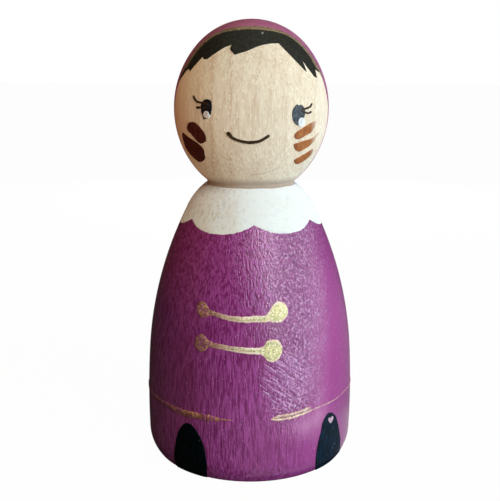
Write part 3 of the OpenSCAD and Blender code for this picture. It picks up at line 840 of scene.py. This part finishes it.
lash_half, lash_rise = 0.19, film + 0.01
lashes_left = [
    [(-0.51, 0.075, 1), (-0.54, 0.09, 1.1), (-0.6, 0.095, 1), (-0.66, 0.11, 1), (-0.697, 0.16, 0.8)],
    [(-0.52, 0.05, 1), (-0.6, 0.045, 0.9), (-0.65, 0.043, 1.25)],
]
lashes_right = [
    [(0.59, 0.03, 1), (0.643, 0.037, 1), (0.704, 0.054, 1), (0.73, 0.085, 0.8)],
    [(0.59, 0.01, 1), (0.643, -0.001, 1), (0.69, -0.011, 0.9), (0.722, 0.002, 0.9)],
]
ink_finish, here = finish("brown_ink", gloss=0.15)
pooled = here.moved((2.5, 2.5, 2.5)).cloud(3)
ink_colour = pooled.between(0.35, 0.7).mix(seen(42, 31, 22), seen(84, 63, 40))
apply_finish(ink_finish, ink_colour, 0.5, pooled, 0.03)


def joined(name, pieces):
    """Makes several pieces one, under a new name."""
    alone(pieces[0])
    for piece in pieces:
        piece.select_set(True)
    bpy.ops.object.join()
    pieces[0].name = pieces[0].data.name = name
    return pieces[0]


for name, pair in (("lashes_left", lashes_left), ("lashes_right", lashes_right)):
    made = []
    for points in pair:
        line = [(x, z, share * lash_half) for x, z, share in on_head(points)]
        made.append(dab("lash", stroke(line), wood_r, lash_rise, inset=0, step=0.3))
    wear(joined(name, made), ink_finish, "brown_ink", name)

# The mouth
# One line of the same brown ink, set down with a dot on the left and drawn to
# the right with the same small brush.
mouth = [(-0.27, -0.22, 0.4), (-0.245, -0.245, 0.33), (-0.22, -0.265, 0.27), (-0.13, -0.295, 0.26)]
mouth += [(-0.01, -0.31, 0.29), (0.1, -0.295, 0.27), (0.17, -0.26, 0.25), (0.205, -0.24, 0.27)]
smile = dab("smile", hand(stroke(on_head(mouth)), 0.04, 3, 2), wood_r, film, inset=0)
wear(smile, ink_finish, "brown_ink", "smile")

# The cheek strokes
# Short flat strokes of thin brown paint, two on the left cheek and three on the right. The wood shows
# through the ends of the strokes. The left strokes are painted a darker brown, as painted shade.
cheek_left = [
    [(-0.785, -0.18), (-0.765, -0.13), (-0.725, -0.115), (-0.68, -0.12), (-0.615, -0.17)]
    + [(-0.56, -0.23), (-0.545, -0.28), (-0.555, -0.32), (-0.615, -0.345), (-0.66, -0.315)]
    + [(-0.715, -0.265), (-0.77, -0.215)],
    [(-0.855, -0.25), (-0.78, -0.285), (-0.705, -0.32), (-0.635, -0.355), (-0.585, -0.405)]
    + [(-0.57, -0.455), (-0.57, -0.52), (-0.63, -0.565), (-0.69, -0.54), (-0.76, -0.485)]
    + [(-0.815, -0.425), (-0.84, -0.355)],
]
cheek_right = [
    [(0.795, -0.105), (0.72, -0.12), (0.625, -0.165), (0.55, -0.205), (0.52, -0.24), (0.535, -0.28)]
    + [(0.58, -0.285), (0.665, -0.25), (0.745, -0.205)],
    [(0.835, -0.235), (0.76, -0.285), (0.665, -0.305), (0.575, -0.325), (0.52, -0.34), (0.53, -0.39)]
    + [(0.575, -0.425), (0.635, -0.41), (0.74, -0.355)],
    [(0.77, -0.415), (0.69, -0.45), (0.585, -0.495), (0.53, -0.525), (0.555, -0.57), (0.605, -0.565)]
    + [(0.68, -0.53), (0.75, -0.48)],
]
# Painted shade: the left strokes are the same brown paint, made darker.
shaded_cheek_finish, here = finish("maroon_paint", gloss=0.12)
streak = here.moved((1.6, 1.6, 0.5), turn=(0, -0.6, 0)).cloud(4, 0.6)
shaded_cheek_colour = streak.between(0.35, 0.75).mix(seen(66, 28, 25), seen(90, 44, 38))
apply_finish(shaded_cheek_finish, shaded_cheek_colour, 0.5, streak, 0.04)
copper_finish, here = finish("copper_paint", gloss=0.15)
streak = here.moved((2.2, 2.2, 0.7), turn=(0, 1.05, 0)).cloud(4, 0.62)
copper = streak.between(0.35, 0.7).mix(seen(166, 100, 58), seen(190, 128, 76))
copper = (here.moved((1, 1, 1)).cloud(2).between(0.45, 0.7) * 0.5).mix(copper, seen(148, 80, 48))
copper = (here.axis(0).between(9.2, 8.2) * 0.7).mix(copper, seen(140, 72, 42))
copper = (here.axis(0).between(11.2, 12.8) * 0.7).mix(copper, beech(here)[0])
apply_finish(copper_finish, copper, 0.5, streak, 0.04)
for name, strokes, worn, slot in (
    ("cheek_strokes_left", cheek_left, shaded_cheek_finish, "maroon_paint"),
    ("cheek_strokes_right", cheek_right, copper_finish, "copper_paint"),
):
    made = [
        dab(name + str(i), hand(curve(on_head(points), 4, True), 0.05, i), wood_r, film)
        for i, points in enumerate(strokes)
    ]
    wear(joined(name, made), worn, slot, name)

# The braids
# Two gold lines across the coat with a round knob at each end, loaded at the
# right and running dry at the left, where the plum shows through. A paler edge
# of the same paint stands round each.
braid_h = 1.2
knob_left_h, knob_right_h = 3, 4.1
belly_w = 21.75
# The height of each, then its left knob, its line and its right knob. A point is
# how far across the body, how far above the line, and half a width, as shares.
braids = {
    "braid_upper": (
        34.25,
        [(-0.474, 0.6, 0.1), (-0.458, 0.66, 0.34), (-0.43, 0.66, 0.5), (-0.397, 0.6, 0.46)]
        + [(-0.367, 0.45, 0.26)],
        [(-0.345, 0.3, 0.42), (-0.28, 0.05, 0.38), (-0.19, -0.25, 0.4), (-0.07, -0.4, 0.46)]
        + [(0.05, -0.3, 0.52), (0.13, -0.28, 0.56)],
        [(0.167, 0.05, 0.22), (0.19, 0.35, 0.36), (0.22, 0.6, 0.45), (0.252, 0.66, 0.48)]
        + [(0.285, 0.66, 0.43), (0.315, 0.62, 0.3), (0.334, 0.6, 0.1)],
    ),
    "braid_lower": (
        28.15,
        [(-0.49, 0.4, 0.1), (-0.472, 0.4, 0.36), (-0.44, 0.42, 0.56), (-0.405, 0.45, 0.5)]
        + [(-0.372, 0.45, 0.26)],
        [(-0.345, 0.45, 0.42), (-0.25, 0.2, 0.4), (-0.13, 0, 0.44), (-0.01, -0.2, 0.5)]
        + [(0.08, -0.24, 0.54)],
        [(0.123, -0.25, 0.24), (0.145, -0.25, 0.42), (0.175, -0.28, 0.52), (0.206, -0.28, 0.53)]
        + [(0.24, -0.25, 0.47), (0.268, -0.2, 0.32), (0.285, -0.15, 0.1)],
    ),
}
gold_finish, here = finish("gold_paint", gloss=0.5)
loaded = here.axis(0).between(-9, 2)
golds = [
    loaded.mix(seen(216, 162, 116), seen(232, 226, 170)),
    loaded.mix(seen(118, 80, 46), seen(188, 188, 134)),
    loaded.mix(seen(252, 206, 168), seen(255, 247, 224)),
    loaded.mix(seen(58, 22, 38), seen(120, 124, 94)),
]
colour, rough, metal, relief = worn_gold(here, plum(here)[0], *golds, 0.45 + loaded * 0.19)
apply_finish(gold_finish, colour, rough, relief, 0.1, metal)
rim_finish, here = finish("gold_rim_paint", gloss=0.3)
loaded = here.axis(0).between(-9, 0)
crumb = here.moved((2.2, 2.2, 2.2)).cloud(3, 0.6)
rim_pale = loaded.mix(seen(204, 154, 120), seen(255, 244, 230))
rim_deep = loaded.mix(seen(130, 86, 62), seen(230, 206, 180))
rim_colour = crumb.between(0.35, 0.6).mix(rim_pale, rim_deep)
rim_gap = crumb.between(0.56, 0.66) * (0.9 - loaded * 0.7)
apply_finish(rim_finish, rim_gap.mix(rim_colour, plum(here)[0]), 0.5, crumb, 0.06)
rim_wide, rim_rise, core_rise = 0.42, 0.1, 0.13
thinnest = 0.03


def coat_r(z):
    """The radius of the coat's outer side at a height."""
    return wood_r(z) + film


def round_run(run, less):
    """The outline of a line of round dabs, less a width at both sides."""
    run = [(x, up, half - less) for x, up, half in run if half > less + thinnest]
    return [(x, up + half) for x, up, half in run] + [(x, up - half) for x, up, half in reversed(run)]


for name, (z, left, line, right) in braids.items():
    places = [(x, up, half * knob_left_h) for x, up, half in left]
    places += [(x, up, half * braid_h) for x, up, half in line]
    places += [(x, up, half * knob_right_h) for x, up, half in right]
    run = curve([(x * belly_w, z + up * braid_h, half) for x, up, half in places], 4)
    rim_line = hand(round_run(run, 0), 0.15, z, 2)
    rim = dab(name, rim_line, coat_r, rim_rise, inset=0.1, step=0.5)
    core_line = hand(round_run(run, rim_wide), 0.2, z, 2)
    core = dab("core", core_line, coat_r, core_rise, inset=0, step=0.5, sunk=-0.09)
    both = joined(name, [coated(rim, rim_finish), coated(core, gold_finish)])
    wear(both, None, "gold_paint", name)

# The hem
# A gold line round the foot of the coat, left open at the front. The left part
# is a full brush that runs out in dashes. The right part is two thin dry strands
# at first, with rungs of thinner paint between them.


def hem_edges(middle, half, waver, seed):
    """A line's lower and upper edge by the angle, with a waver of its width."""

    def edges(turn):
        mid = middle(turn) + drift(turn * 0.06, seed) * 0.25
        wide = half(turn) * (1 + waver * drift(turn * 0.5, seed, 5))
        low = wide * (1 + waver * drift(turn * 1.3, seed, 3))
        return mid - low, mid + wide * (1 + waver * drift(turn * 1.1, seed, 9))

    return edges


def through(*places):
    """A value that runs straight from one (angle, value) place to the next."""

    def at(turn):
        for (t0, v0), (t1, v1) in zip(places, places[1:]):
            if turn <= t1:
                share = min(max((turn - t0) / (t1 - t0), 0), 1)
                return v0 + (v1 - v0) * share
        return places[-1][1]

    return at


hem_rise, strand_rise, rung_rise = 0.12, 0.1, 0.06

left_mid = through((-180, 14.3), (-70, 14.1), (-52, 14.09), (-35, 13.85), (-13, 13.95))
left_half = through(
    *((-180, 0.5), (-68, 0.36), (-52, 0.46), (-42, 0.62), (-20, 0.62)),
    *((-16, 0.34), (-13, 0.16), (-8.5, 0.07)),
)
left_edges = hem_edges(left_mid, left_half, 0.35, 2)
hem_left = skin("hem_left", -180, -8.5, 360, 4, left_edges, coat_r, hem_rise, soft=0.1)

right_mid = through(
    *((11, 14.25), (15, 13.95), (22, 14.05), (30, 14.45), (34, 14.75)),
    *((48, 14.95), (68, 15.45), (120, 14.6), (180, 14.3)),
)
right_half = through(
    *((11, 0.1), (13, 0.24), (33, 0.2), (37, 0.15), (70, 0.12), (120, 0.2), (180, 0.3)),
)
right_edges = hem_edges(right_mid, right_half, 0.7, 6)
hem_right = skin("hem_right", 11, 180, 360, 4, right_edges, coat_r, strand_rise, soft=0.08)

strand_mid = through((12, 14.45), (16, 14.75), (24, 14.9), (30, 15.2), (34, 15.45))
strand_half = through((12, 0.08), (14, 0.2), (32, 0.2), (34, 0.08))
strand_edges = hem_edges(strand_mid, strand_half, 0.7, 8)
strand = skin("strand", 12, 34, 60, 4, strand_edges, coat_r, strand_rise, soft=0.06)

rung_mid = through((13, 14.2), (16, 14.35), (22, 14.5), (30, 14.85), (34, 15.1))
rung_half = through((13, 0.2), (15, 0.4), (32, 0.36), (34, 0.2))
rung_edges = hem_edges(rung_mid, rung_half, 0.2, 8)
rungs = skin("rungs", 13, 34, 60, 4, rung_edges, coat_r, rung_rise, soft=0.06)


def dry_brush(here, paint, shade, cover, faint):
    """Dry metallic strokes along the hem, with upright gaps of plum in them."""
    gap = here.moved((1.9, 1.9, 0.3), by=(3, 3, 3)).cloud(3, 0.65)
    tone = here.moved((1.5, 1.5, 1.5), by=(1, 7, 3)).cloud(3, 0.6)
    speck = here.moved((3, 3, 2)).cells().between(0.3, 0.1)
    colour = tone.between(0.4, 0.6).mix(paint, shade)
    colour = (speck * 0.4).mix(colour, seen(244, 222, 186))
    bare = gap.between(cover, cover + 0.1) * (1 - faint) + faint
    return (bare * 0.9).mix(colour, plum(here)[0]), (1 - bare) * 0.2, gap


hem_finish, here = finish("hem_gold_paint", gloss=0.25)
faint = here.axis(0).between(-12.5, -16) * 0.6
colour, metal, relief = dry_brush(here, seen(206, 148, 108), seen(134, 84, 62), 0.5, faint)
apply_finish(hem_finish, colour, 0.5, relief, 0.06, metal)
wear(hem_left, hem_finish, "gold_paint", "hem_left")
rose_finish, here = finish("rose_gold_paint", gloss=0.25)
faint = here.axis(0).between(10.5, 13) * 0.45 + here.axis(0).between(15, 18) * 0.2
colour, metal, relief = dry_brush(here, seen(238, 222, 200), seen(214, 184, 166), 0.56, faint)
apply_finish(rose_finish, colour, 0.5, relief, 0.06, metal)
rung_finish, here = finish("rung_paint", gloss=0.25)
colour, metal, relief = dry_brush(here, seen(212, 196, 160), seen(150, 122, 100), 0.54, 0.5)
apply_finish(rung_finish, colour, 0.5, relief, 0.06, metal)
parts = [coated(hem_right, rose_finish), coated(strand, rose_finish), coated(rungs, rung_finish)]
wear(joined("hem_right", parts), None, "rose_gold_paint", "hem_right")

# The boots
# Two dark toe marks at the foot of the coat, in blue-black acrylic brushed thin
# over the plum, with a small pink dab on the right one.
boot_rise, fleck_rise = 0.12, 0.1
boot_left_shape = [(-0.9, -0.94), (-0.99, -0.7), (-1, -0.35), (-0.82, 0.4), (-0.5, 0.82)]
boot_left_shape += [(-0.2, 0.98), (0.15, 0.93), (0.5, 0.7), (0.75, 0.42), (0.93, 0), (1, -0.35)]
boot_left_shape += [(0.99, -0.7), (0.98, -0.94)]
boot_right_shape = [(-0.97, -0.94), (-0.99, -0.7), (-1, -0.3), (-0.88, 0.1), (-0.68, 0.48)]
boot_right_shape += [(-0.5, 0.84), (-0.1, 1.02), (0.38, 0.84), (0.68, 0.4), (0.88, -0.15)]
boot_right_shape += [(0.96, -0.6), (0.94, -0.94)]
boot_finish, here = finish("boot_paint", gloss=0.06)
brushed = here.moved((1.8, 1.8, 0.4)).cloud(4, 0.6)
lit = here.axis(0).between(-8, 10)
boot_dark = lit.mix(seen(2, 9, 12), seen(8, 22, 32))
boot_pale = lit.mix(seen(8, 20, 28), seen(18, 44, 66))
boot_colour = brushed.between(0.35, 0.75).mix(boot_dark, boot_pale)
# Small pale grey specks on the boots.
boot_speck = here.moved((0.6, 0.6, 0.45)).cells().between(0.1, 0.03)
boot_colour = (boot_speck * 0.4).mix(boot_colour, seen(150, 160, 160))
apply_finish(boot_finish, boot_colour, 0.4 + brushed * 0.25, brushed, 0.05)
for name, place, wide, tall, shape in (
    ("boot_left", -0.538, 6.8, 12.0, boot_left_shape),
    ("boot_right", 0.747, 5.8, 12.7, boot_right_shape),
):
    outline = [(place * belly_w + x * wide / 2, (1 + z) * tall / 2) for x, z in curve(shape, 5)]
    boot = dab(name, hand(outline, 0.08, wide), coat_r, boot_rise, inset=0.1)
    wear(boot, boot_finish, "boot_paint", name)

heart = [(0, 0.55), (0.3, 0.95), (0.75, 0.95), (1, 0.45), (0.75, -0.2), (0, -1)]
heart += [(-0.75, -0.2), (-1, 0.45), (-0.75, 0.95), (-0.3, 0.95)]
fleck_x, fleck_z, fleck_half_w, fleck_half_h = 0.754 * belly_w, 11.15, 0.56, 0.7
fleck_outline = [
    (fleck_x + x * fleck_half_w, fleck_z + z * fleck_half_h) for x, z in curve(heart, 3, True)
]
fleck = dab("boot_fleck", fleck_outline, lambda z: coat_r(z) + boot_rise, fleck_rise, 0.05, 0.3)
fleck_finish, here = finish("pink_paint", gloss=0.4)
milky = here.moved((3, 3, 3)).cloud()
fleck_colour = milky.between(0.4, 0.7).mix(seen(214, 184, 202), seen(184, 150, 178))
apply_finish(fleck_finish, fleck_colour, 0.5, milky, 0.03)
wear(fleck, fleck_finish, "pink_paint", "boot_fleck")

# The floor and the light
# A white table and a white room that only the camera and reflections see. A
# window stands to the right of the camera, with a little warm light on the left.
# Some lamps only show as reflections in the varnish: the sky and the lit table.
plain_white, table_shade = (1, 1, 1, 1), (0.28, 0.28, 0.28, 1)
glow_share = 0.98


def looked_at(start):
    """1 for the camera, mirrors and clear things, and 0 for all other light."""
    kinds = ("Is Camera Ray", "Is Glossy Ray", "Is Transmission Ray")
    camera_ray, mirror_ray, clear_ray = (start.node("LightPath", out=kind) for kind in kinds)
    return camera_ray + mirror_ray + clear_ray


bpy.ops.object.select_all(action="DESELECT")
bpy.ops.mesh.primitive_plane_add(size=6)
floor = bpy.context.object
floor.name = "floor"
floor_material = bpy.data.materials.new("table")
floor_material.use_nodes = True
tree = floor_material.node_tree
start = Tone(tree)
table_white = tree.nodes["Principled BSDF"]
table_white.inputs["Roughness"].default_value = 0.9
table_white.inputs["Specular IOR Level"].default_value = 0
glow = start.node("Emission", {}, {"Color": plain_white, "Strength": 1.0})
shown = looked_at(start)
table_colour = shown.mix(table_shade, plain_white)
tree.links.new(table_colour.socket, table_white.inputs["Base Color"])
lit_table = Tone(tree, table_white.outputs[0])
both = start.node("MixShader", {}, {0: shown * glow_share, 1: lit_table, 2: glow})
tree.links.new(both.socket, tree.nodes["Material Output"].inputs["Surface"])
floor.data.materials.append(floor_material)

world = bpy.data.worlds.new("room")
scene.world = world
world.use_nodes = True
tree = world.node_tree
start = Tone(tree)
room = start.node("Background", {}, {"Color": (1.0, 0.7, 0.5, 1), "Strength": 0.03})
white = start.node("Background", {}, {"Color": plain_white, "Strength": 1.0})
both = start.node("MixShader", {}, {0: looked_at(start), 1: room, 2: white})
tree.links.new(both.socket, tree.nodes["World Output"].inputs["Surface"])


def lamp(name, place, aim, wide, tall, power, colour, shines=True, mirrored=True, spin=0):
    """A soft rectangular lamp at a place, turned to face another.

    One that doesn't shine is only mirrored in the varnish, and one that isn't
    mirrored only lights the doll.
    """
    bulb = bpy.data.lights.new(name, "AREA")
    bulb.shape = "RECTANGLE"
    bulb.size, bulb.size_y = wide, tall
    bulb.energy = power
    bulb.color = colour
    holder = bpy.data.objects.new(name, bulb)
    scene.collection.objects.link(holder)
    holder.location = place
    facing = (Vector(place) - Vector(aim)).to_track_quat("Z", "Y").to_matrix()
    holder.rotation_euler = (facing @ Matrix.Rotation(math.radians(spin), 3, "Z")).to_euler()
    holder.visible_camera = False
    holder.visible_diffuse = shines
    holder.visible_glossy = mirrored


middle = (0, 0, 0.045)
head = (-0.004, -0.006, 0.076)
lamp("window", (0.41, -0.27, 0.15), middle, 0.08, 0.34, 1.68, (0.55, 0.76, 0.98))
lamp("window_pane", (0.5, -0.12, 0.12), middle, 0.1, 0.4, 0.8, (1.0, 0.95, 0.8), shines=False)
# The lit table: the angle from the front, the distance, both sizes and the power.
for name, (turn, out, wide, long, power) in {
    "table_foot": (66, 0.036, 0.05, 0.022, 0.001),
    "table_near": (54, 0.05, 0.02, 0.03, 0.006),
    "table_far": (54, 0.16, 0.055, 0.08, 0.07),
    "table_right": (116, 0.112, 0.3, 0.12, 0.03),
    "table_out": (98, 0.34, 0.6, 0.36, 0.35),
}.items():
    place = (out * math.sin(math.radians(turn)), -out * math.cos(math.radians(turn)), 0.002)
    over = (place[0], place[1], 1)
    lamp(name, place, over, wide, long, power, (1.0, 0.95, 1.0), shines=False, spin=turn)
lamp("table_front", (0.1, -0.17, 0.01), head, 0.2, 0.1, 0.19, (1.0, 0.98, 0.74), mirrored=False)
lamp("ceiling", (0.16, -0.36, 0.36), middle, 0.3, 0.3, 1.16, (1.0, 0.9, 0.72), mirrored=False)
lamp("sky", (0.295, -0.285, 0.33), middle, 0.24, 0.26, 1.6, (1.0, 0.88, 0.93), shines=False)
lamp("back_wall", (0.3, 0.3, 0.1), middle, 0.4, 0.3, 0.04, (0.98, 0.99, 1.0), shines=False)
lamp("behind", (0.02, 0.42, 0.09), middle, 0.14, 0.12, 0.9, (1.0, 0.94, 0.88), mirrored=False)
lamp("roof", (0.01, 0, 0.24), head, 0.16, 0.16, 0.05, (1.0, 0.8, 0.1), mirrored=False)
lamp("warm_wall", (-0.42, -0.2, 0.3), middle, 0.3, 0.4, 0.03, (1.0, 0.45, 0.2))
low_left, over_left = (-0.06, -0.03, 0.052), (-0.025, -0.015, 0.144)
lamp("warm_side", low_left, over_left, 0.03, 0.03, 0.011, (1.0, 0.38, 0.14), mirrored=False)

# The dark cloth
# A dark cloth hangs all round the doll, as painted shade of the room, with a small dark disc under
# the doll as its painted shadow on the table. The varnish mirrors them in place of a white room. The
# camera and the lamps look past them.
cloth_r, cloth_h, cloth_gap = 0.75, 1.6, 0.0003
shadow_disc_r, shadow_disc_gap = 0.032, 0.0002
bpy.ops.object.select_all(action="DESELECT")
bpy.ops.mesh.primitive_cylinder_add(
    vertices=48,
    radius=cloth_r,
    depth=cloth_h,
    end_fill_type="TRIFAN",
    location=(0, 0, cloth_h / 2 + cloth_gap),
)
shade_cloth = bpy.context.object
shade_cloth.name = "painted_shade_cloth"
bpy.ops.object.transform_apply(location=True)
drop_faces(shade_cloth, lambda face: face.center.z > cloth_h - 0.1)
shade_cloth_finish = bpy.data.materials.new("shade_cloth_finish")
shade_cloth_finish.use_nodes = True
cloth_shader = shade_cloth_finish.node_tree.nodes["Principled BSDF"]
cloth_shader.inputs["Base Color"].default_value = (0.1, 0.08, 0.065, 1)
cloth_shader.inputs["Roughness"].default_value = 1.0
cloth_shader.inputs["Specular IOR Level"].default_value = 0
bpy.ops.object.select_all(action="DESELECT")
bpy.ops.mesh.primitive_circle_add(
    vertices=48, radius=shadow_disc_r, fill_type="NGON", location=(0, 0, shadow_disc_gap)
)
shadow_disc = bpy.context.object
shadow_disc.name = "painted_shadow_disc"
for piece in (shade_cloth, shadow_disc):
    coated(piece, shade_cloth_finish)
    piece.visible_camera = False
    piece.visible_shadow = False
    piece.visible_diffuse = False

scene.view_settings.view_transform = "Standard"
